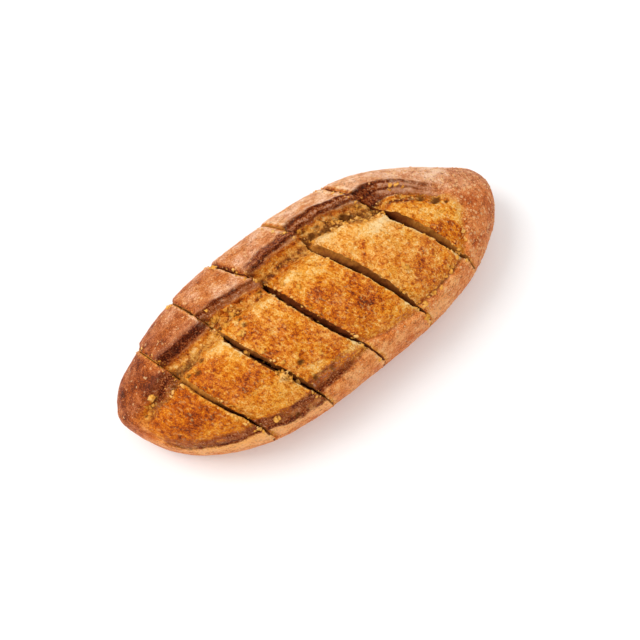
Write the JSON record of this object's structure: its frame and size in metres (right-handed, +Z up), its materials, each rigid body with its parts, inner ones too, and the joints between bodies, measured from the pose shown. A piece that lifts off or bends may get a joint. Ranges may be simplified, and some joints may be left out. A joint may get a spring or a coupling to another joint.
{
  "type": "garlic baguette",
  "caption": "Short crusty garlic baguette with one long opened score and slanting cuts nearly through to its flat base.",
  "frame": {"origin": "middle of the flat base, under the middle of the loaf's bounding box", "axes": "+X along the loaf, +Y toward the side with the raised ear, +Z up from the base"},
  "size_m": [0.222, 0.0956, 0.059],
  "materials": {
    "crust": "matte baked crust"
  },
  "bodies": {
    "root": {"baguette": "crust"}
  },
  "joints": []
}
